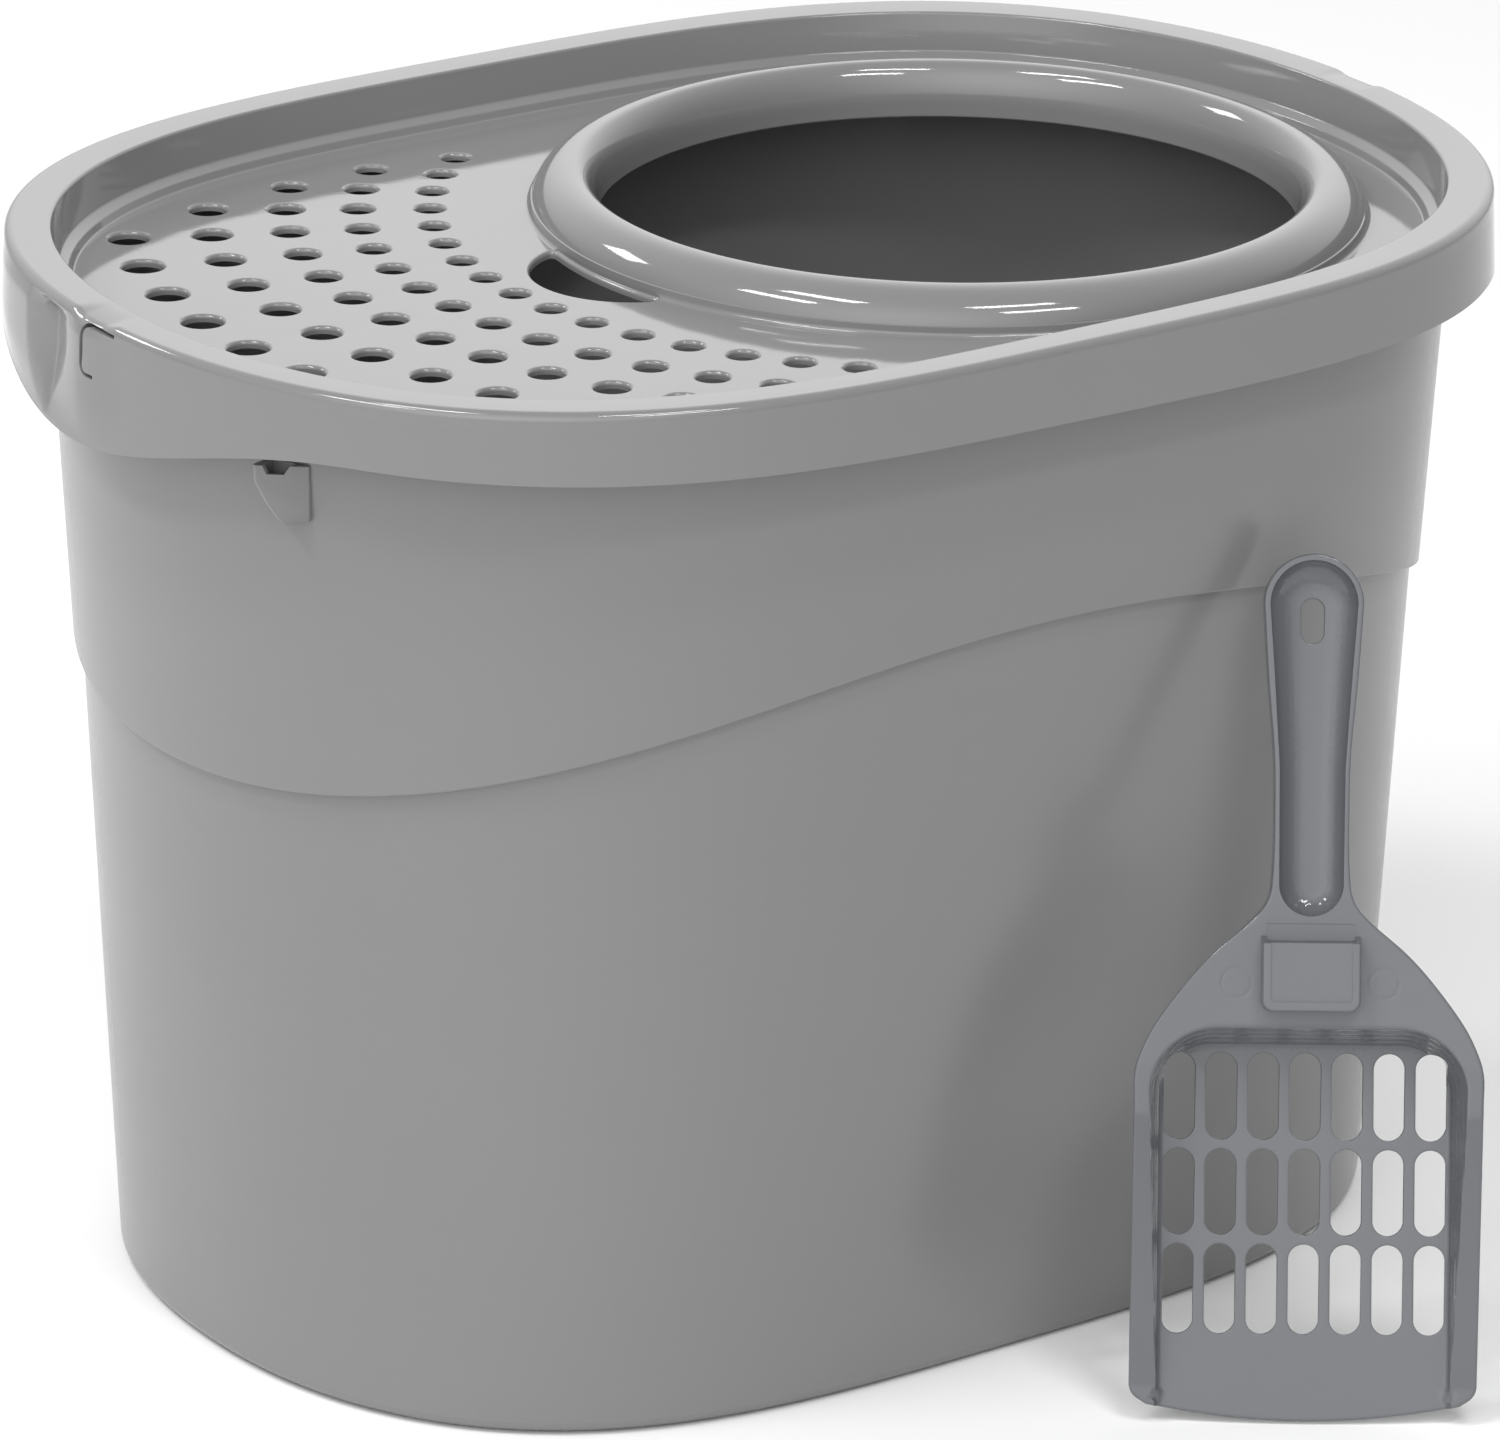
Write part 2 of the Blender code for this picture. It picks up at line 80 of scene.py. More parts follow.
# Lid
DECK = HEIGHT - 0.019
SKIRT_SIDE_Z = 0.347
SKIRT_TILT = -0.012
SKIRT_END_DROP = 0.0225
SKIRT_END_CENTRE = 0.022
SKIRT_END_REACH = 0.135
RIM_ROUND = 0.0055
RIM_INNER = -0.0149
COLLAR_X = 0.081
COLLAR_BORE = 0.1222
COLLAR_BASE = 0.148
COLLAR_CREST = 0.1298
COLLAR_TOP = DECK + 0.0140
GRIP_START = 0.010
GRIP_LEAD = 0.024
GRIP_FLARE = 0.0018
GRIP_FADE = (0.075, 0.115)
# Across the grip: where its valley starts, its bottom, and its far edge low down and high up
VALLEY = (0.012, 0.0390, 0.0355, 0.0540)
VALLEY_DEPTH = 0.0062
VALLEY_TOP = HEIGHT - 0.0022
HOLE_ARC_RADII = (0.1796, 0.2045, 0.2294, 0.2562, 0.2848)
HOLE_ARC_SPREAD = (8, 7, 6, 5, 4)
HOLE_DIAMETERS = (0.010, 0.011, 0.012, 0.013, 0.014)
HOLE_PITCH = 0.1114
HOLE_ROUND = 0.0014
# The finger slot's centre, its radius, and the radius about the entry of its straight side
FINGER_SLOT = (-0.052, 0.0342, 0.1464)
FINGER_SLOT_TIP = math.radians(108.0)
RELIEF_SLIT_WIDTH = 0.0013
SLIT_TIP_Z = HEIGHT - 0.0196
# The dent in the rim beside the slit: its place, its half width and its depth
RIM_DENT = (0.0060, 0.0140, 0.0012)

# Tub
FOOT_HALF_LENGTH = HALF_LENGTH * 0.8711
FOOT_HALF_WIDTH = HALF_WIDTH * 0.8268
TUB_DRAFT = 0.0483
TUB_STEP = 0.0028
STEP_PEAK_Z = 0.270
SHOULDER_Z = 0.344

HOOK_Y = -0.0735
HOOK_TOP_Z = 0.3415
HOOK_WIDTH = 0.0155
# Down the hook's plate: height, how far its free side reaches along the wall, and out of it
HOOK_LEVELS = (
    (0.0, 0.0085, 0.0095),
    (-0.0060, 0.0082, 0.0095),
    (-0.0125, 0.0042, 0.0088),
    (-0.0170, 0.0006, 0.0080),
    (-0.0190, -0.0018, 0.0074),
)

# Scoop
SCOOP_LENGTH = 0.2915
SCOOP_HALF_WIDTH = 0.0585
SCOOP_DEPTH = 0.022
SCOOP_FLOOR = 0.0022
SCOOP_LEAN = math.radians(20.9)
SCOOP_TURN = -0.6117
HANDLE_HALF_TOP = 0.0168
HANDLE_HALF_NECK = 0.0129
HANDLE_DEPTH = 0.0095
CHANNEL_DEPTH = 0.0073
CHANNEL_ENDS = (0.1811, 0.2747)
CHANNEL_STATIONS = (CHANNEL_ENDS[0], 0.2200, 0.2480, CHANNEL_ENDS[1])
CHANNEL_HALVES = (0.0108, 0.0110, 0.0128, 0.0147)
SLOT_COLUMNS = 7
SLOT_PITCH = 0.0141
SLOT_WIDTH = 0.0104
SLOT_ROWS = ((0.0293, 0.0595), (0.0626, 0.0915), (0.0946, 0.1238))
# The hang slot's middle, the half length of its straight part and its half width
HANG_SLOT = (0.269, 0.0037, 0.0038)
SOCKET_HALF = 0.0167
SOCKET_SPAN = (0.1384, 0.1620)
SOCKET_RISE = 0.0070
SOCKET_WALL = 0.0019
# The round marks that the mould's ejector pins leave: across, along, radius
EJECTOR = (0.0247, 0.148, 0.0050)
TERRACES = 4
TRAY_HALF = SCOOP_HALF_WIDTH - 0.0098
TRAY_TOP = 0.1265
TRAY_CORNER = 0.017
TRAY_SLOPE_SIDE = 0.0044
TRAY_SLOPE_TOP = 0.0065

# Points in each outline, and in the close sampling that they are taken from
AROUND = 720
DENSE = 24001


def smoothstep(low, high, value):
    t = np.clip((value - low) / (high - low), 0.0, 1.0)
    return t * t * (3.0 - 2.0 * t)


# Meshes from rows of points


def raw_oval(half_x, half_y, power_y):
    """The outline |x/a|^LONG_POWER + |y/b|^power_y = 1, closely sampled, with the length run so far."""
    turn = np.linspace(0.0, 2.0 * math.pi, DENSE)
    cosine, sine = np.cos(turn), np.sin(turn)
    x = half_x * np.sign(cosine) * np.abs(cosine) ** (2.0 / LONG_POWER)
    y = half_y * np.sign(sine) * np.abs(sine) ** (2.0 / power_y)
    run = np.concatenate(([0.0], np.cumsum(np.hypot(np.diff(x), np.diff(y)))))
    return x, y, run


def stop_shares():
    """Where the outline's points go, as shares of its length: closer together round the grips."""
    x, y, run = raw_oval(HALF_LENGTH, HALF_WIDTH, LID_POWER)
    close = (np.abs(x) > 0.8 * HALF_LENGTH) * (1.0 - smoothstep(0.07, 0.10, np.abs(y)))
    weight = np.concatenate(([0.0], np.cumsum(np.diff(run) * (1.0 + 2.4 * close[1:]))))
    wanted = weight[-1] * (np.arange(AROUND) + 0.5) / AROUND
    shares = np.interp(wanted, weight, run) / run[-1]
    for end in (-1.0, 1.0):
        for edge in (GRIP_START - 0.0005, GRIP_START + 0.0005):
            at = np.argmin(np.hypot(x - end * HALF_LENGTH, y + end * edge))
            share = run[at] / run[-1]
            shares[np.argmin(np.abs(shares - share))] = share
    return np.sort(shares)


STOPS = stop_shares()


def oval(half_x, half_y, power_y, offset=0.0):
    x, y, run = raw_oval(half_x + offset, half_y + offset, power_y)
    return np.interp(STOPS * run[-1], run, x), np.interp(STOPS * run[-1], run, y)


def filleted(corners, steps=6):
    """A path through (u, v, radius) corners, each one rounded to its radius."""
    path = [Vector(corners[0][:2])]
    for before, (u, v, radius), after in zip(corners, corners[1:], corners[2:]):
        here = Vector((u, v))
        back, ahead = Vector(before[:2]) - here, Vector(after[:2]) - here
        half = back.angle(ahead) / 2.0
        trim = min(radius / math.tan(half), 0.49 * back.length, 0.49 * ahead.length)
        middle = back.normalized() + ahead.normalized()
        if radius <= 0.0 or middle.length < 1e-4:
            path.append(here)
            continue
        centre = here + middle.normalized() * (trim / math.cos(half))
        start = here + back.normalized() * trim - centre
        turn = start.angle_signed(here + ahead.normalized() * trim - centre)
        for k in range(steps + 1):
            angle = -turn * k / steps
            cosine, sine = math.cos(angle), math.sin(angle)
            across, along = start.x * cosine - start.y * sine, start.x * sine + start.y * cosine
            path.append(centre + Vector((across, along)))
    path.append(Vector(corners[-1][:2]))
    return path


def skin(name, rows, wrap=False):
    """A closed mesh over equal rows of points: the last row joins the first, or both ends are capped."""
    points = np.array(rows)
    count, around = points.shape[:2]
    index = np.arange(count * around).reshape(count, around)
    if wrap:
        index = np.vstack((index, index[:1]))
    beside = np.roll(index, -1, axis=1)
    quads = np.stack((index[:-1], beside[:-1], beside[1:], index[1:]), axis=-1).reshape(-1, 4).tolist()
    if not wrap:
        quads += [index[0].tolist(), index[-1].tolist()]
    mesh = bpy.data.meshes.new(name)
    mesh.from_pydata(points.reshape(-1, 3).tolist(), [], quads)
    return placed(name, mesh)


def placed(name, mesh):
    bm = bmesh.new()
    bm.from_mesh(mesh)
    bmesh.ops.recalc_face_normals(bm, faces=bm.faces)
    bm.to_mesh(mesh)
    bm.free()
    mesh.shade_smooth()
    obj = bpy.data.objects.new(name, mesh)
    bpy.context.scene.collection.objects.link(obj)
    return obj


def level(x, y, z):
    return np.stack((x, y, np.broadcast_to(z, x.shape)), axis=-1)


def cut(target, tool, operation="DIFFERENCE"):
    modifier = target.modifiers.new(tool.name, "BOOLEAN")
    modifier.operation = operation
    modifier.solver = "EXACT"
    modifier.object = tool
    tool.hide_render = True


def settle(obj, sharp=40.0):
    """Applies the modifiers, removes their tools, and shades the mesh smooth with flat areas kept flat."""
    tools = [m.object for m in obj.modifiers if m.type == "BOOLEAN"]
    bpy.context.view_layer.update()
    graph = bpy.context.evaluated_depsgraph_get()
    mesh = bpy.data.meshes.new_from_object(obj.evaluated_get(graph))
    obj.modifiers.clear()
    obj.data = mesh
    for tool in tools:
        bpy.data.objects.remove(tool, do_unlink=True)
    mesh.shade_smooth()
    mesh.set_sharp_from_angle(angle=math.radians(sharp))
    weighted = obj.modifiers.new("flat areas stay flat", "WEIGHTED_NORMAL")
    weighted.keep_sharp = True
    weighted.weight = 60
    return obj


# The lid


def skirt_low(x, y):
    """Height of the skirt's lower edge, which dips round both ends."""
    end = np.where(x < 0.0, -1.0, 1.0)
    reach = np.clip(np.abs(y + end * SKIRT_END_CENTRE) / SKIRT_END_REACH, 0.0, 1.0)
    dip = 0.5 + 0.5 * np.cos(math.pi * reach)
    near_end = smoothstep(0.12, 0.20, np.abs(x))
    return SKIRT_SIDE_Z + SKIRT_TILT * x - SKIRT_END_DROP * dip * near_end


def grip_shift(x, y, z):
    """How far the skirt stands out or in at the finger grips of the two ends."""
    across = np.where(x < 0.0, y, -y)
    low = skirt_low(x, y)
    share = np.clip((z - low) / (HEIGHT - RIM_ROUND - low), 0.0, 1.0)
    parted = 0.25 * smoothstep(SLIT_TIP_Z, SLIT_TIP_Z + 0.008, z)
    gentle = smoothstep(GRIP_START - GRIP_LEAD, GRIP_START, across)
    begin = parted * (across > GRIP_START) + (1.0 - parted) * gentle
    flare = GRIP_FLARE * begin * (1.0 - smoothstep(*GRIP_FADE, across)) * smoothstep(0.0, 0.45, share)
    flare = flare * (1.0 - smoothstep(HEIGHT - 0.0075, HEIGHT - 0.0008, z))
    start, bottom, edge_low, edge_high = VALLEY
    edge = edge_high + (edge_low - edge_high) * (1.0 - share) ** 3
    depth = VALLEY_DEPTH * np.clip((edge - bottom) / (edge_high - bottom), 0.0, 1.0)
    inward = np.clip((across - start) / (bottom - start), 0.0, 1.0) ** 1.3 * (across <= bottom)
    rise = (edge - across) / np.maximum(edge - bottom, 1e-4)
    outward = (across > bottom) * np.clip(rise, 0.0, 1.0) ** 1.15
    valley = depth * (inward + outward) * (1.0 - smoothstep(VALLEY_TOP - 0.0036, VALLEY_TOP, z))
    return np.where(np.abs(x) > 0.18, flare - valley, 0.0)


def rim_dent(x, y):
    """Depth of the dent in the rim's outer edge beside the slit."""
    across = np.where(x < 0.0, y, -y)
    away = np.abs(across - RIM_DENT[0]) / RIM_DENT[1]
    return np.where(np.abs(x) > 0.18, RIM_DENT[2] * (1.0 - smoothstep(0.45, 1.0, away)), 0.0)


def lid_row(offset, z, gripped=False):
    """One row of the lid's outer part. z is a height, or a pair: a share of the skirt's drop and its top."""
    x, y = oval(HALF_LENGTH, HALF_WIDTH, LID_POWER, offset)
    if isinstance(z, tuple):
        share, top = z
        low = skirt_low(x, y)
        z = low + (top - low) * share
    z = np.broadcast_to(z, x.shape)
    if gripped:
        outside = smoothstep(-0.0086, -0.0050, offset)
        z = z - rim_dent(x, y) * outside * smoothstep(HEIGHT - 0.0100, HEIGHT - 0.0020, z)
        shift = grip_shift(x, y, z) * outside
        length = np.hypot(x, y)
        x, y = x + shift * x / length, y + shift * y / length
    return level(x, y, z)


def collar_row(radius, z):
    """A circle round the entry, its points in line with those of the outline."""
    x, y = oval(HALF_LENGTH, HALF_WIDTH, LID_POWER)
    angle = np.arctan2(y, x - COLLAR_X)
    return level(COLLAR_X + radius * np.cos(angle), radius * np.sin(angle), z)


def skirt_rows(offset_low, offset_top, top, shares):
    return [lid_row(offset_low + (offset_top - offset_low) * s, (s, top), True) for s in shares]


def lid_rows():
    shares = (0.0, 0.02, 0.06, 0.15, 0.3, 0.45, 0.58, 0.68, 0.76, 0.82, 0.88, 0.94)
    rows = [lid_row(SKIRT_FLARE - 0.0010, (0.0, HEIGHT), True)]
    rows += skirt_rows(SKIRT_FLARE, 0.0, HEIGHT - RIM_ROUND, shares)
    rim = filleted(
        (
            (0.0, HEIGHT - RIM_ROUND - 0.0006, 0.0),
            (0.0, HEIGHT + 0.0002, RIM_ROUND),
            (-0.0086, HEIGHT, 0.0),
            (RIM_INNER, HEIGHT - 0.0002, 0.0011),
            (-0.0170, DECK + 0.0046, 0.0012),
            (-0.0203, DECK + 0.0028, 0.0010),
            (-0.0214, DECK, 0.0010),
            (-0.0260, DECK, 0.0),
        )
    )
    rows += [lid_row(p.x, p.y, True) for p in rim]
    flat, near = lid_row(-0.0260, DECK), collar_row(COLLAR_BASE + 0.0030, DECK)
    rows += [flat + (near - flat) * s for s in (0.2, 0.4, 0.6, 0.8)]
    foot = filleted(((COLLAR_BASE + 0.0030, DECK, 0.0), (0.1451, DECK, 0.0032), (0.1448, DECK + 0.0034, 0.0)))
    roll = [(math.radians(angle), 0.0150, 0.0140) for angle in np.linspace(15.0, 90.0, 14)]
    roll += [(math.radians(angle), 0.0080, 0.0150) for angle in np.linspace(99.0, 174.0, 11)]
    roll = [
        Vector((COLLAR_CREST + wide * math.cos(a), COLLAR_TOP - tall * (1.0 - math.sin(a))))
        for a, wide, tall in roll
    ]
    bore = filleted(
        (
            (COLLAR_BORE - 0.0003, DECK - 0.0010, 0.0),
            (COLLAR_BORE - 0.0004, DECK - 0.0054, 0.0009),
            (COLLAR_BORE + WALL, DECK - 0.0054, 0.0009),
            (COLLAR_BORE + WALL, DECK + 0.0062, 0.0040),
            (0.1310, DECK + 0.0108, 0.0060),
            (0.1364, DECK + 0.0100, 0.0050),
            (0.1415, DECK - WALL, 0.0040),
            (COLLAR_BASE, DECK - WALL, 0.0),
        )
    )
    collar = foot + roll + bore
    rows += [collar_row(p.x, p.y) for p in collar]
    inside = filleted(
        (
            (-0.0200, DECK - WALL, 0.0),
            (-0.0190, DECK - WALL, 0.0010),
            (-0.0141, DECK + 0.0030, 0.0010),
            (-0.0128, HEIGHT - 0.0028, 0.0010),
            (-0.0028, HEIGHT - 0.0028, 0.0030),
            (-0.0028, HEIGHT - 0.0070, 0.0),
        ),
        steps=4,
    )
    rows += [lid_row(p.x, p.y, True) for p in inside]
    back = skirt_rows(SKIRT_FLARE - 0.0026, -0.0026, HEIGHT - 0.0075, shares)
    return rows + back[::-1]


def edge_profile(round_size, below, above, steps=5):
    """Height and growth up a cutter that flares at height 0, so that what it cuts gets a soft edge."""
    profile = [(-below, 0.0)]
    for k in range(steps + 1):
        angle = 0.5 * math.pi * k / steps
        profile.append((round_size * (math.sin(angle) - 1.0), round_size * (1.0 - math.cos(angle))))
    profile.append((above, round_size + above))
    return profile


def pegs():
    """The drain holes' cutter: one peg for each."""
    profile = edge_profile(HOLE_ROUND, 0.009, 0.004)
    bm = bmesh.new()
    sides = 28
    for radius, spread, diameter in zip(HOLE_ARC_RADII, HOLE_ARC_SPREAD, HOLE_DIAMETERS):
        for step in range(-spread, spread + 1):
            at = math.pi + step * HOLE_PITCH
            centre = Vector((COLLAR_X + radius * math.cos(at), radius * math.sin(at), DECK))
            loops = []
            for z, grown in profile:
                size = diameter / 2 + grown
                turns = [2.0 * math.pi * k / sides for k in range(sides)]
                ring = [Vector((size * math.cos(a), size * math.sin(a), z)) for a in turns]
                loops.append([bm.verts.new(centre + p) for p in ring])
            for lower, upper in zip(loops, loops[1:]):
                for i in range(sides):
                    j = (i + 1) % sides
                    bm.faces.new((lower[i], lower[j], upper[j], upper[i]))
            bm.faces.new(loops[0][::-1])
            bm.faces.new(loops[-1])
    mesh = bpy.data.meshes.new("drain_pegs")
    bm.to_mesh(mesh)
    bm.free()
    return placed("drain_pegs", mesh)


def finger_slot():
    """A half-moon with round corners and a soft upper edge, its straight side along the collar's foot."""
    centre, size, foot = FINGER_SLOT
    corner = Vector((centre + size * math.cos(FINGER_SLOT_TIP), size * math.sin(FINGER_SLOT_TIP)))
    reach = math.atan2(corner.y, COLLAR_X - corner.x)
    corners = []
    for turn in np.linspace(-reach, reach, 25):
        corners.append((COLLAR_X - foot * math.cos(turn), foot * math.sin(turn)))
    arc = np.linspace(FINGER_SLOT_TIP, 2.0 * math.pi - FINGER_SLOT_TIP, 41)
    corners += [(centre + size * math.cos(t), size * math.sin(t)) for t in arc]
    outline = resampled(corners, 0.0008)
    for _ in range(14):
        outline = (np.roll(outline, 1, axis=0) + 2.0 * outline + np.roll(outline, -1, axis=0)) / 4.0
    ahead = np.roll(outline, -1, axis=0) - np.roll(outline, 1, axis=0)
    outward = np.stack((ahead[:, 1], -ahead[:, 0]), axis=-1) / np.hypot(*ahead.T)[:, None]
    if np.sum(outward * (outline - outline.mean(0))) < 0.0:
        outward = -outward
    rows = []
    for z, grown in edge_profile(HOLE_ROUND, 0.009, 0.004):
        beside_collar = smoothstep(0.0015, 0.0045, np.hypot(outline[:, 0] - COLLAR_X, outline[:, 1]) - foot)
        spread = np.minimum(grown, HOLE_ROUND) + max(0.0, grown - HOLE_ROUND) * beside_collar
        row = outline + outward * spread[:, None]
        rows.append(level(row[:, 0], row[:, 1], DECK + z))
    return skin("finger_slot", rows)


def ribbon(path, width):
    """The outline of a strip of that width along a path of (y, z) points."""
    sides = ([], [])
    for before, here, after in zip([path[0], *path], path, [*path[1:], path[-1]]):
        along = Vector((after[0] - before[0], after[1] - before[1])).normalized() * width / 2
        sides[0].append((here[0] - along.y, here[1] + along.x))
        sides[1].append((here[0] + along.y, here[1] - along.x))
    return sides[0] + sides[1][::-1]


def relief_slit(end):
    """The slit beside a finger grip: along the rim's edge, down the skirt and round in a hook."""
    top, side, tip = HEIGHT - 0.0030, GRIP_START, SLIT_TIP_Z
    corners = (
        (-0.0085, top, 0.0),
        (side, top, 0.0035),
        (side, tip, 0.0055),
        (0.0028, tip, 0.0),
    )
    outline = ribbon([tuple(p) for p in filleted(corners, steps=8)], RELIEF_SLIT_WIDTH)
    inner, outer = HALF_LENGTH - 0.0048, HALF_LENGTH + 0.006
    return skin("slit", [[(end * depth, -end * y, z) for y, z in outline] for depth in (inner, outer)])


def build_lid():
    lid = skin("lid_shell", lid_rows(), wrap=True)
    cut(lid, pegs())
    cut(lid, finger_slot())
    for end in (-1.0, 1.0):
        cut(lid, relief_slit(end))
    return settle(lid)


# The tub


def tub_row(offset, z, lift=0.0):
    """One row of the tub. z is a height, or None for the line of the moulded step."""
    fraction = 1.0 if z is None else min(1.0, max(z, 0.0) / SHOULDER_Z)
    power = FOOT_POWER + (LID_POWER - FOOT_POWER) * fraction
    base_x, base_y = oval(FOOT_HALF_LENGTH, FOOT_HALF_WIDTH, power)
    z = STEP_PEAK_Z - base_x**2 + lift if z is None else np.full(base_x.shape, z)
    grown = TUB_DRAFT * z + offset
    x = base_x * (1.0 + grown / FOOT_HALF_LENGTH)
    y = base_y * (1.0 + grown / FOOT_HALF_WIDTH)
    return level(x, y, z)


def rim_row(offset, z):
    x, y = oval(HALF_LENGTH, HALF_WIDTH, LID_POWER, offset)
    return level(x, y, z)


def tub_rows():
    foot = filleted(((-0.0120, 0.0, 0.0), (0.0, 0.0, 0.0050), (0.0, 0.0120, 0.0)), steps=8)
    rows = [tub_row(p.x, p.y) for p in foot]
    low, high = tub_row(0.0, 0.0150), tub_row(0.0, None, -0.0004)
    rows += [low + (high - low) * s for s in np.linspace(0.0, 1.0, 9)]
    step = ((0.0, -0.0004, 0.0), (0.0, 0.0, 0.0), (TUB_STEP, 0.0010, 0.0008), (TUB_STEP, 0.0040, 0.0))
    step = filleted(step, steps=5)
    rows += [tub_row(p.x, None, p.y) for p in step[1:]]
    low, high = rows[-1], tub_row(TUB_STEP, SHOULDER_Z)
    rows += [low + (high - low) * s for s in np.linspace(0.1, 1.0, 8)]
    rim_z = HEIGHT - 0.0034
    rows += [
        rim_row(-0.0080, SHOULDER_Z + 0.006),
        rim_row(-0.0080, rim_z - 0.0030),
        rim_row(-0.0062, rim_z - 0.0024),
        rim_row(-0.0062, rim_z),
        rim_row(-0.0106, rim_z),
        rim_row(-0.0106, SHOULDER_Z + 0.006),
        tub_row(TUB_STEP - WALL, SHOULDER_Z - 0.001),
        tub_row(TUB_STEP - WALL, 0.285),
        tub_row(-WALL, 0.190),
        tub_row(-WALL, 0.100),
        tub_row(-WALL, 0.014),
        tub_row(-WALL - 0.0025, 0.0065),
        tub_row(-WALL - 0.0090, 0.0032),
        tub_row(-WALL - 0.0120, 0.0030),
    ]
    return rows


def hook_frame():
    """A frame on the tub's wall: X runs along the wall, Y out of it and Z up."""
    half_x = FOOT_HALF_LENGTH + TUB_DRAFT * HOOK_TOP_Z + TUB_STEP
    half_y = FOOT_HALF_WIDTH + TUB_DRAFT * HOOK_TOP_Z + TUB_STEP
    x = -half_x * (1.0 - abs(HOOK_Y / half_y) ** LID_POWER) ** (1.0 / LONG_POWER)
    slope_x = LONG_POWER * abs(x / half_x) ** (LONG_POWER - 1.0) / half_x
    slope_y = LID_POWER * abs(HOOK_Y / half_y) ** (LID_POWER - 1.0) / half_y
    out = Vector((-slope_x, -slope_y, 0.0)).normalized()
    along = out.cross(Vector((0.0, 0.0, 1.0)))
    matrix = Matrix((along, out, Vector((0.0, 0.0, 1.0)))).transposed().to_4x4()
    matrix.translation = Vector((x, HOOK_Y, HOOK_TOP_Z))
    return matrix


def hook_body():
    """A plate that leaves the wall on its right, stands out on its left, and narrows downwards."""
    right, root, low = -HOOK_WIDTH / 2, -0.0014, 0.0007
    rows = []
    for z, left, reach in HOOK_LEVELS:
        face = [(left, root), (left, reach - 0.0005), (left - 0.0014, reach), (right, low), (right, root)]
        rows.append([(x, y, z) for x, y in face])
    obj = skin("hook_body", rows)
    obj.data.transform(hook_frame())
    bevel = obj.modifiers.new("soft edges", "BEVEL")
    bevel.width, bevel.segments, bevel.angle_limit = 0.0004, 3, math.radians(25.0)
    return obj


def hook_pocket():
    """The hollow behind the hook's plate, open at the top."""
    outline = ((-0.0030, 0.0012), (0.0064, 0.0012), (0.0064, 0.0068), (0.0052, 0.0070), (-0.0030, 0.0021))
    obj = skin("hook_pocket", [[(x, y, z) for x, y in outline] for z in (-0.0065, 0.004)])
    obj.data.transform(hook_frame())
    return obj


def hook_notch():
    """The notch in the top edge of the hook's plate."""
    outline = ((-0.0032, 0.001), (0.0058, 0.001), (0.0040, -0.0031), (-0.0008, -0.0031))
    obj = skin("hook_notch", [[(x, y, z) for x, z in outline] for y in (0.0016, 0.014)])
    obj.data.transform(hook_frame())
    return obj


def build_tub():
    tub = skin("tub_shell", tub_rows())
    cut(tub, hook_body(), "UNION")
    cut(tub, hook_pocket())
    cut(tub, hook_notch())
    return settle(tub)


# The scoop, in its own frame: X across, Y from lip to handle, Z out of its face


def spline(points, per=6):
    """A smooth open path through the points."""
    points = [Vector(p) for p in points]
    ends = [2 * points[0] - points[1], *points, 2 * points[-1] - points[-2]]
    path = []
    for a, b, c, d in zip(ends, ends[1:], ends[2:], ends[3:]):
        for k in range(per):
            t = k / per
            path.append(b + 0.5 * t * (c - a + t * (2 * a - 5 * b + 4 * c - d + t * (3 * b - a - 3 * c + d))))
    return path + [points[-1]]


def turned(centre, radius, start, end, steps):
    angles = [math.radians(start + (end - start) * k / steps) for k in range(steps + 1)]
    return [Vector((centre[0] + radius * math.cos(a), centre[1] + radius * math.sin(a))) for a in angles]


def resampled(path, spacing):
    """Points at equal steps along a closed path."""
    points = np.array([*map(tuple, path), tuple(path[0])])
    run = np.concatenate(([0.0], np.cumsum(np.hypot(*np.diff(points, axis=0).T))))
    stops = np.linspace(0.0, run[-1], int(run[-1] / spacing), endpoint=False)
    return np.stack((np.interp(stops, run, points[:, 0]), np.interp(stops, run, points[:, 1])), axis=-1)


def scoop_outline():
    half, neck = SCOOP_HALF_WIDTH, HANDLE_HALF_NECK
    lip = [Vector((t * half, 0.0068 * t * t)) for t in np.linspace(0.0, 0.90, 14)]
    corner = turned((half - 0.006, 0.0125), 0.006, -58, 0, 8)
    shoulder = spline(
        (
            (half, 0.108),
            (half, 0.117),
            (0.0565, 0.1245),
            (0.0515, 0.1344),
            (0.0420, 0.1473),
            (0.0325, 0.1578),
            (0.0196, 0.1690),
            (0.0143, 0.1762),
            (neck, 0.1860),
            (neck - 0.0003, 0.2050),
            (neck + 0.0001, 0.2250),
            (0.0150, 0.2480),
            (HANDLE_HALF_TOP, SCOOP_LENGTH - HANDLE_HALF_TOP),
        )
    )
    end = turned((0.0, SCOOP_LENGTH - HANDLE_HALF_TOP), HANDLE_HALF_TOP, 0, 90, 24)
    right = lip + corner + shoulder + end[1:]
    left = [Vector((-p.x, p.y)) for p in reversed(right) if p.x > 1e-6]
    return resampled(right + left, 0.0009)


def slot_list():
    """Centre, half length of the straight part and half width of every opening through the scoop."""
    slots = [(0.0, HANG_SLOT[0], HANG_SLOT[1], HANG_SLOT[2])]
    for column in range(SLOT_COLUMNS):
        x = (column - (SLOT_COLUMNS - 1) / 2) * SLOT_PITCH
        for low, high in SLOT_ROWS:
            slots.append((x, (low + high) / 2, (high - low - SLOT_WIDTH) / 2, SLOT_WIDTH / 2))
    return slots


def away_from_slots(x, y):
    near = np.full(x.shape, 1.0)
    for cx, cy, straight, half in slot_list():
        near = np.minimum(near, np.hypot(x - cx, np.maximum(np.abs(y - cy) - straight, 0.0)) - half)
    return near


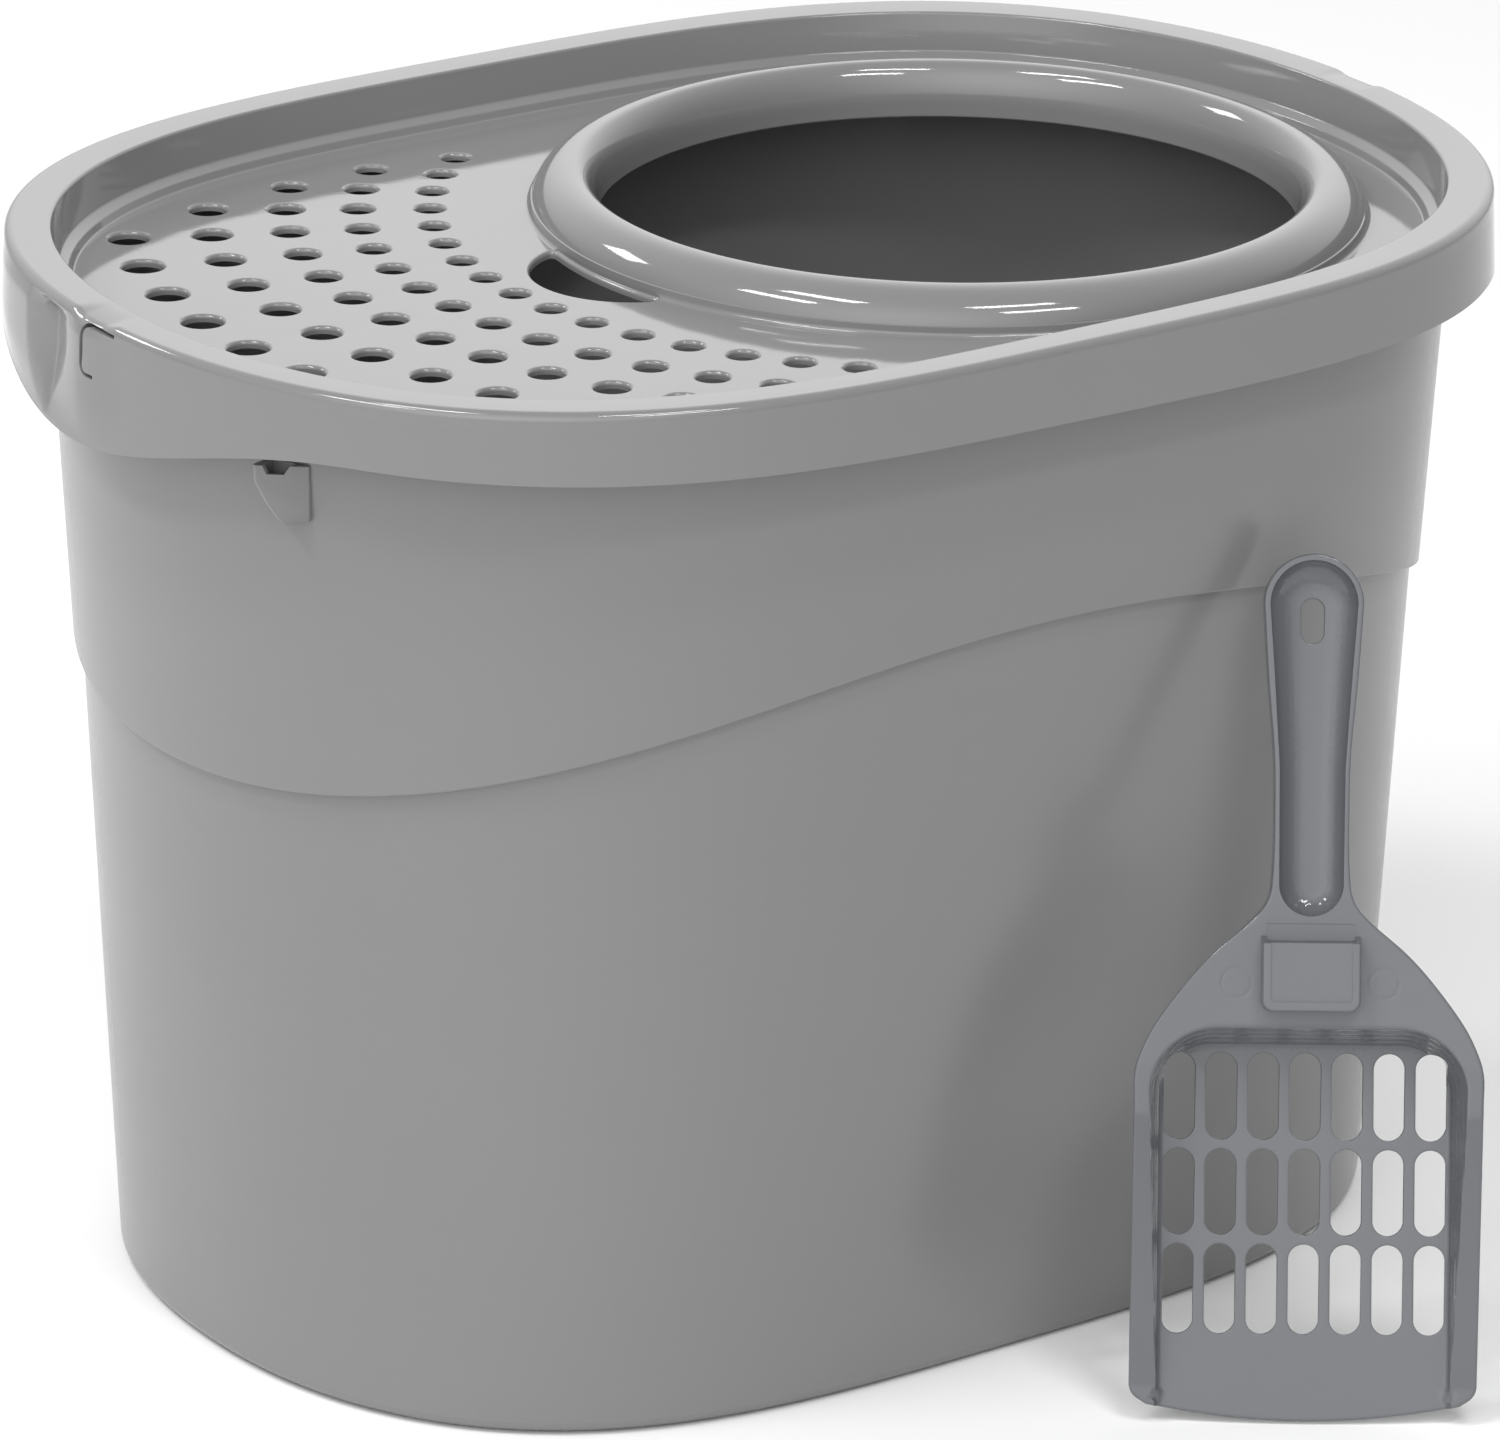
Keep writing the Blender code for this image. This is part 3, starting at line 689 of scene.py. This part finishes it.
def away_from_edge(x, y, outline):
    """Distance from points to the outline, negative outside it."""
    following = np.roll(outline, -1, axis=0)
    span = following - outline
    nearest = np.empty(x.shape)
    inside = np.empty(x.shape, bool)
    for part in np.array_split(np.arange(len(x)), max(1, len(x) // 2000)):
        px, py = x[part, None] - outline[:, 0], y[part, None] - outline[:, 1]
        along = np.clip((px * span[:, 0] + py * span[:, 1]) / (span**2).sum(1), 0.0, 1.0)
        nearest[part] = np.hypot(px - along * span[:, 0], py - along * span[:, 1]).min(1)
        crosses = (outline[:, 1] > y[part, None]) != (following[:, 1] > y[part, None])
        rise = np.where(span[:, 1] == 0, 1e-9, span[:, 1])
        meets = outline[:, 0] + span[:, 0] * (y[part, None] - outline[:, 1]) / rise
        inside[part] = (crosses & (x[part, None] < meets)).sum(1) % 2 == 1
    return np.where(inside, nearest, -nearest)


def beyond_tray(x, y, half, top, radius=TRAY_CORNER):
    """Distance out of a tray with two round corners, open at the lip, and how much of it is upward."""
    side, up = np.abs(x) - (half - radius), y - (top - radius)
    corner = (side > 0.0) & (up > 0.0)
    distance = np.where(corner, np.hypot(side, up) - radius, np.maximum(np.abs(x) - half, y - top))
    share = np.where(corner, up / np.maximum(side + up, 1e-9), (y - top > np.abs(x) - half) * 1.0)
    return distance, share


def channel_share(x, y):
    """0 along the middle of the handle's hollow and 1 at its edge."""
    foot, end = CHANNEL_ENDS
    half = np.interp(y, CHANNEL_STATIONS, CHANNEL_HALVES)
    beyond = np.where(y < foot, y - foot, np.where(y > end, y - end, 0.0))
    return np.hypot(x, beyond) / half


def softer_min(a, b, blend):
    h = np.clip(0.5 + 0.5 * (b - a) / blend, 0.0, 1.0)
    return b + (a - b) * h - blend * h * (1.0 - h)


def rim_height(y):
    return np.interp(y, (0.0, 0.012, 0.104, 0.120), (0.0046, 0.0052, 0.0212, SCOOP_DEPTH))


def scoop_face(x, y, edge, slot):
    """Height of the scoop's face."""
    out, upward = beyond_tray(x, y, TRAY_HALF, TRAY_TOP)
    share = out / (TRAY_SLOPE_SIDE + (TRAY_SLOPE_TOP - TRAY_SLOPE_SIDE) * upward)
    terraced = share - 0.035 * np.sin(2.0 * math.pi * TERRACES * np.clip(share, 0.0, 1.0))
    wall = SCOOP_FLOOR + (SCOOP_DEPTH - SCOOP_FLOOR) * terraced
    z = softer_min(rim_height(y), wall, 0.0012)
    z = -softer_min(-z, np.full(x.shape, -SCOOP_FLOOR), 0.0016)
    hollow = np.clip(1.0 - np.clip(channel_share(x, y), 0.0, 1.0) ** 3.4, 0.0, 1.0) ** 0.55
    z = z - CHANNEL_DEPTH * hollow
    mark = np.abs(np.hypot(np.abs(x) - EJECTOR[0], y - EJECTOR[1]) - EJECTOR[2])
    z = z - 0.00012 * np.clip(1.0 - mark / 0.0004, 0.0, 1.0)
    for distance, soft in ((edge, 0.0007), (slot, 0.0004)):
        close = np.clip(soft - distance, 0.0, soft)
        z = z - (soft - np.sqrt(soft**2 - close**2))
    return z


def scoop_back(x, y, edge):
    """Height of the scoop's back: a thin shell under the tray and shoulder, thicker behind the handle."""
    under = rim_height(y) - 0.0021
    under = under + (SCOOP_DEPTH - HANDLE_DEPTH - under) * smoothstep(0.160, 0.172, y)
    out, upward = beyond_tray(x, y, SCOOP_HALF_WIDTH - 0.0068, 0.1280)
    slope = SCOOP_DEPTH * out / (0.0068 + 0.0052 * upward)
    z = np.maximum(softer_min(under, slope, 0.0010), 0.0)
    soft = 0.0006
    close = np.clip(soft - edge, 0.0, soft)
    return z + (soft - np.sqrt(soft**2 - close**2))


def scoop_loops(outline):
    """Closed loops of points that the scoop's mesh follows, so that edges and walls come out clean."""
    loops = []
    ahead = np.roll(outline, -1, axis=0) - np.roll(outline, 1, axis=0)
    inward = np.stack((-ahead[:, 1], ahead[:, 0]), axis=-1) / np.hypot(*ahead.T)[:, None]
    loops += [outline + inward * inset for inset in (0.0, 0.00012, 0.0003, 0.0007, 0.0014)]
    turns = np.linspace(0.0, 2.0 * math.pi, 36, endpoint=False)
    for cx, cy, straight, half in slot_list():
        for grown in (0.0, 0.00008, 0.0002, 0.0004):
            y = cy + (half + grown) * np.sin(turns) + straight * np.sign(np.sin(turns) + 1e-6)
            loops.append(np.stack((cx + (half + grown) * np.cos(turns), y), axis=-1))
    return loops


def tray_loops():
    loops = []
    for share in (-0.35, -0.15, 0.0, *np.linspace(0.06, 1.0, 17), 1.1, 1.25):
        side, up = TRAY_SLOPE_SIDE * share, TRAY_SLOPE_TOP * share
        half, top, radius = TRAY_HALF + side, TRAY_TOP + up, TRAY_CORNER + side
        right = [Vector((half, y)) for y in np.linspace(0.0115, top - radius, 60, endpoint=False)]
        right += turned((half - radius, top - radius), radius, 0, 90, 26)
        right += [Vector((x, top)) for x in np.linspace(half - radius, 0.0, 24)[1:]]
        loops.append(np.array([tuple(p) for p in right] + [(-p.x, p.y) for p in reversed(right[:-1])]))
    return loops


def channel_loops():
    loops = []
    foot, end = CHANNEL_ENDS
    for share in (1.0, 0.997, 0.985, 0.96, 0.92, 0.86, 0.78, 0.66, 0.5, 0.3):
        right = turned((0.0, foot), CHANNEL_HALVES[0] * share, -90, 0, 16)
        for y in np.linspace(foot, end, 60)[1:-1]:
            half = float(np.interp(y, CHANNEL_STATIONS, CHANNEL_HALVES))
            right.append(Vector((half * share, y)))
        right += turned((0.0, end), CHANNEL_HALVES[-1] * share, 0, 90, 20)
        loops.append(np.array([tuple(p) for p in right] + [(-p.x, p.y) for p in reversed(right[1:-1])]))
    for side in (-1.0, 1.0):
        for grown in (-0.0004, 0.0, 0.0004):
            ring = turned((side * EJECTOR[0], EJECTOR[1]), EJECTOR[2] + grown, 0, 360, 40)[:-1]
            loops.append(np.array([tuple(p) for p in ring]))
    return loops


def scoop_body():
    """The scoop's face and back over one flat triangulation, joined round every edge."""
    outline = scoop_outline()
    points, edges = [], []
    for loop in scoop_loops(outline) + channel_loops():
        first = len(points)
        points += loop.tolist()
        edges += [(first + i, first + (i + 1) % len(loop)) for i in range(len(loop))]
    for path in tray_loops():
        first = len(points)
        points += path.tolist()
        edges += [(first + i, first + i + 1) for i in range(len(path) - 1)]
    across, up = np.meshgrid(np.arange(-0.057, 0.0575, 0.0019), np.arange(0.002, 0.290, 0.0019))
    across = across + 0.0004 * np.sin(up * 1900.0)
    across, up = across.ravel(), up.ravel()
    clear = (away_from_edge(across, up, outline) > 0.0018) & (away_from_slots(across, up) > 0.0008)
    points += np.stack((across[clear], up[clear]), axis=-1).tolist()
    flat, _, faces = delaunay_2d_cdt([Vector(p) for p in points], edges, [], 0, 1e-7, False)[:3]
    flat = np.array([tuple(p) for p in flat])
    faces = np.array([list(f) for f in faces])
    centre = flat[faces].mean(1)
    middle_x, middle_y = centre.T
    kept = away_from_edge(middle_x, middle_y, outline) > 0.0
    kept &= away_from_slots(middle_x, middle_y) > 0.0
    faces = faces[kept]
    used, faces = np.unique(faces, return_inverse=True)
    faces = faces.reshape(-1, 3)
    x, y = flat[used].T
    edge, slot = away_from_edge(x, y, outline), away_from_slots(x, y)
    edge, slot = np.maximum(edge, 0.0), np.maximum(slot, 0.0)
    front = level(x, y, scoop_face(x, y, edge, slot))
    back = level(x, y, scoop_back(x, y, edge))
    sides = {}
    for a, b, c in faces.tolist():
        for pair in ((a, b), (b, c), (c, a)):
            key = tuple(sorted(pair))
            sides[key] = None if key in sides else pair
    count = len(used)
    walls = [(b, a, a + count, b + count) for a, b in filter(None, sides.values())]
    mesh = bpy.data.meshes.new("scoop_body")
    both = faces.tolist() + (faces[:, ::-1] + count).tolist()
    mesh.from_pydata(np.vstack((front, back)).tolist(), [], both + walls)
    return placed("scoop_body", mesh)


def round_panel(half, low, high, radius):
    """The right half of a panel with two round lower corners, mirrored into a closed outline."""
    right = turned((half - radius, low + radius), radius, -90, 0, 6) + [Vector((half, high))]
    return [(-p.x, p.y) for p in reversed(right)] + [tuple(p) for p in right]


def neck_socket():
    """The flat socket on the neck, open towards the handle, and the cutters for its gap and its panel."""
    low, high = SOCKET_SPAN
    top = SCOOP_DEPTH + SOCKET_RISE
    rows = []
    levels = ((SCOOP_DEPTH - 0.001, 0.0), (top - 0.0007, 0.0003), (top - 0.0002, 0.0005), (top, 0.0010))
    for z, inset in levels:
        lean = 0.0024 * (z - SCOOP_DEPTH) / SOCKET_RISE
        outline = round_panel(SOCKET_HALF - inset, low + inset, high + 0.0018 - lean, 0.0036)
        rows.append([(x, y, z) for x, y in outline])
    gap = round_panel(SOCKET_HALF - SOCKET_WALL, low + SOCKET_WALL, high + 0.006, 0.0020)
    gap = [[(x, y, z) for x, y in gap] for z in (SCOOP_DEPTH - 0.0003, top - SOCKET_WALL)]
    panel = round_panel(SOCKET_HALF - 0.0030, low + 0.0034, high + 0.006, 0.0016)
    panel = [[(x, y, z) for x, y in panel] for z in (top - 0.0005, top + 0.002)]
    return skin("socket", rows), skin("socket_gap", gap), skin("socket_panel", panel)


def build_scoop():
    scoop = scoop_body()
    socket, gap, panel = neck_socket()
    cut(scoop, socket, "UNION")
    cut(scoop, gap)
    cut(scoop, panel)
    scoop = settle(scoop, 50.0)
    turn = Matrix.Rotation(SCOOP_TURN, 4, "Z") @ Matrix.Rotation(math.pi / 2 - SCOOP_LEAN, 4, "X")
    scoop.data.transform(turn)
    corners = np.array([tuple(v.co) for v in scoop.data.vertices])
    low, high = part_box("scoop")
    middle = (low + high) / 2
    shift = middle - Vector((corners.min(0) + corners.max(0)) / 2)
    shift.z = low.z - corners[:, 2].min()
    scoop.data.transform(Matrix.Translation(shift))
    return scoop


# Materials

GREY = (0.190, 0.190, 0.192)
SMOKE = (0.114, 0.119, 0.129)
LONG_WAVE = 0.00012
ORANGE_PEEL = 0.000008


def add(tree, kind, **values):
    node = tree.nodes.new(kind)
    for key, value in values.items():
        if key in node.inputs:
            node.inputs[key].default_value = value
        else:
            setattr(node, key, value)
    return node


def moulded_plastic(name, colour, roughness):
    """Glossy injection-moulded plastic: long shallow waves, fine orange peel and faint uneven gloss."""
    material = bpy.data.materials.new(name)
    material.use_nodes = True
    tree = material.node_tree
    link = tree.links.new
    shader = tree.nodes["Principled BSDF"]
    shader.inputs["IOR"].default_value = 1.5
    where = add(tree, "ShaderNodeTexCoord").outputs["Object"]
    tint = add(tree, "ShaderNodeTexNoise", Scale=9.0, Detail=3.0, Roughness=0.55)
    link(where, tint.inputs["Vector"])
    ramp = add(tree, "ShaderNodeValToRGB")
    darker = [c * 0.988 for c in colour]
    lighter = [c * 1.012 for c in colour]
    ramp.color_ramp.elements[0].position = 0.3
    ramp.color_ramp.elements[0].color = (*darker, 1.0)
    ramp.color_ramp.elements[1].position = 0.7
    ramp.color_ramp.elements[1].color = (*lighter, 1.0)
    link(tint.outputs["Fac"], ramp.inputs["Fac"])
    link(ramp.outputs["Color"], shader.inputs["Base Color"])
    dull = add(tree, "ShaderNodeTexNoise", Scale=55.0, Detail=4.0, Roughness=0.6)
    link(where, dull.inputs["Vector"])
    span = add(tree, "ShaderNodeMapRange")
    span.inputs["From Min"].default_value = 0.3
    span.inputs["From Max"].default_value = 0.7
    span.inputs["To Min"].default_value = roughness * 0.96
    span.inputs["To Max"].default_value = roughness * 1.05
    link(dull.outputs["Fac"], span.inputs["Value"])
    link(span.outputs["Result"], shader.inputs["Roughness"])
    long_wave = add(tree, "ShaderNodeTexNoise", Scale=16.0, Detail=1.0)
    fine = add(tree, "ShaderNodeTexNoise", Scale=1400.0, Detail=2.0)
    link(where, long_wave.inputs["Vector"])
    link(where, fine.inputs["Vector"])
    swell = add(tree, "ShaderNodeBump", Distance=LONG_WAVE)
    skin_bump = add(tree, "ShaderNodeBump", Distance=ORANGE_PEEL)
    link(long_wave.outputs["Fac"], swell.inputs["Height"])
    link(fine.outputs["Fac"], skin_bump.inputs["Height"])
    link(swell.outputs["Normal"], skin_bump.inputs["Normal"])
    link(skin_bump.outputs["Normal"], shader.inputs["Normal"])
    return material


def dress(obj, node, material):
    obj.data.materials.clear()
    obj.data.materials.append(material)
    body = next(b for b, members in frame["record"]["behaviour"]["bodies"].items() if node in members)
    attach(obj, body)
    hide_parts(node)


# Studio


def studio_floor():
    floor = bpy.data.meshes.new("floor")
    reach = 14.0
    z = cad_box[0].z - 0.0002
    corners = [(-reach, -reach, z), (reach, -reach, z), (reach, reach, z), (-reach, reach, z)]
    floor.from_pydata(corners, [], [(0, 1, 2, 3)])
    obj = bpy.data.objects.new("floor", floor)
    bpy.context.scene.collection.objects.link(obj)
    material = bpy.data.materials.new("pale_floor")
    material.use_nodes = True
    shader = material.node_tree.nodes["Principled BSDF"]
    shader.inputs["Base Color"].default_value = (0.86, 0.86, 0.86, 1.0)
    shader.inputs["Roughness"].default_value = 0.7
    shader.inputs["Specular IOR Level"].default_value = 0.2
    floor.materials.append(material)


def aim(obj, target):
    direction = Vector(target) - obj.location
    obj.rotation_mode = "QUATERNION"
    obj.rotation_quaternion = direction.to_track_quat("-Z", "Y")


def softbox(name, place, target, size, power):
    light = bpy.data.lights.new(name, "AREA")
    light.shape = "RECTANGLE"
    light.size, light.size_y = size
    light.energy = power
    obj = bpy.data.objects.new(name, light)
    bpy.context.scene.collection.objects.link(obj)
    obj.location = place
    aim(obj, target)


def heading(azimuth, elevation):
    a, e = math.radians(azimuth), math.radians(elevation)
    return Vector((math.sin(a) * math.cos(e), -math.cos(a) * math.cos(e), math.sin(e)))


# Azimuth and elevation of each soft glow of the studio's walls, its sharpness and its strength
GLOWS = (
    (144.95, 22.0, 8.0, 1.48),
    (-45.05, 28.0, 5.0, 2.35),
    (99.95, 22.0, 6.0, 1.30),
    (-80.05, 20.0, 6.0, 0.60),
    (-170.05, 22.0, 8.0, 0.80),
)
AMBIENT = 0.04

LIGHT_TARGET = Vector((0.0, 0.0, 0.25))
LIGHT_REACH = 3.0
# Azimuth and elevation of each softbox, its width and height, and its power
SOFTBOXES = (
    (-95.05, 51.0, (0.95, 0.26), 21.0),
    (-95.05, 67.0, (0.95, 0.26), 21.0),
    (-2.05, 51.0, (0.85, 0.22), 15.0),
    (-2.05, 67.0, (0.85, 0.22), 15.0),
    (-150.05, 35.0, (0.70, 0.45), 15.0),
)


def studio_world():
    world = bpy.data.worlds.new("studio")
    world.use_nodes = True
    bpy.context.scene.world = world
    tree = world.node_tree
    link = tree.links.new
    where = add(tree, "ShaderNodeTexCoord").outputs["Generated"]
    total = None
    for azimuth, elevation, sharpness, strength in GLOWS:
        facing = add(tree, "ShaderNodeVectorMath", operation="DOT_PRODUCT")
        facing.inputs[1].default_value = heading(azimuth, elevation)
        link(where, facing.inputs[0])
        front = add(tree, "ShaderNodeMath", operation="MAXIMUM")
        link(facing.outputs["Value"], front.inputs[0])
        front.inputs[1].default_value = 0.0
        lobe = add(tree, "ShaderNodeMath", operation="POWER")
        link(front.outputs[0], lobe.inputs[0])
        lobe.inputs[1].default_value = sharpness
        share = add(tree, "ShaderNodeMath", operation="MULTIPLY_ADD")
        link(lobe.outputs[0], share.inputs[0])
        share.inputs[1].default_value = strength
        share.inputs[2].default_value = AMBIENT
        if total is not None:
            link(total, share.inputs[2])
        total = share.outputs[0]
    background = tree.nodes["Background"]
    background.inputs["Color"].default_value = (1.0, 1.0, 1.0, 1.0)
    link(total, background.inputs["Strength"])


# The photo's view, as fitted to the lid's and foot's edges, the entry and the arcs of holes
CAMERA_PLACE = (-1.6003, -2.2808, 1.2489)
CAMERA_YAW = -0.6117
CAMERA_PITCH = 0.3664
CAMERA_ROLL = 0.011
LENS = 205.07


def studio_camera():
    data = bpy.data.cameras.new("camera")
    data.lens = LENS
    data.sensor_width = 36.0
    data.clip_start, data.clip_end = 0.05, 60.0
    camera = bpy.data.objects.new("camera", data)
    bpy.context.scene.collection.objects.link(camera)
    flat = math.cos(CAMERA_PITCH)
    back = Vector((math.sin(CAMERA_YAW) * flat, -math.cos(CAMERA_YAW) * flat, math.sin(CAMERA_PITCH)))
    right = (-back).cross(Vector((0.0, 0.0, 1.0))).normalized()
    up = right.cross(-back)
    tilt = Matrix((right, up, back)).transposed().to_4x4()
    tilt = tilt @ Matrix.Rotation(CAMERA_ROLL, 4, "Z")
    camera.matrix_world = Matrix.Translation(CAMERA_PLACE) @ tilt
    bpy.context.scene.camera = camera


def main():
    dress(build_tub(), "tub", moulded_plastic("tub_grey", GREY, 0.24))
    dress(build_lid(), "lid", moulded_plastic("lid_grey", GREY, 0.055))
    dress(build_scoop(), "scoop", moulded_plastic("smoke_grey", SMOKE, 0.10))
    studio_floor()
    studio_world()
    for k, (azimuth, elevation, size, power) in enumerate(SOFTBOXES):
        place = LIGHT_TARGET + heading(azimuth, elevation) * LIGHT_REACH
        softbox(f"softbox_{k}", place, LIGHT_TARGET, size, power)
    studio_camera()
    scene = bpy.context.scene
    scene.view_settings.view_transform = "Standard"
    scene.view_settings.look = "None"


main()
